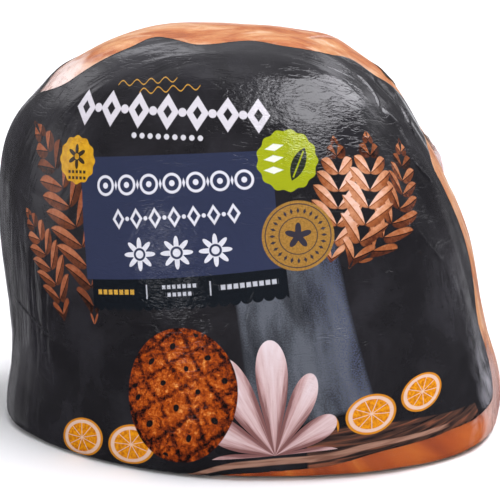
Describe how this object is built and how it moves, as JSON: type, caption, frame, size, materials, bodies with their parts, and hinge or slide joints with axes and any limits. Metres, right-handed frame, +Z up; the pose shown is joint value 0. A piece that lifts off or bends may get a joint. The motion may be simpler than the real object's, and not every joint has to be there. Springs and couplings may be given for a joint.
{
  "type": "shrink-wrapped boneless ham",
  "caption": "Dome-shaped boneless half leg ham that stands on its flat cut face, sealed in a tight shrink bag with a dark printed front and back and a clear edge strip.",
  "frame": {"origin": "middle of the pack's box, on the surface that the flat cut face stands on", "axes": "+Z up from the cut face to the crown, +X along the pack's length to the right seen from the printed front, the printed front faces -Y"},
  "size_m": [0.1918, 0.1578, 0.1507],
  "materials": {
    "printed_film": "gloss",
    "clear_film": "gloss",
    "ham_rind": "satin"
  },
  "bodies": {
    "root": {"ham_pack": "printed_film"}
  },
  "joints": []
}
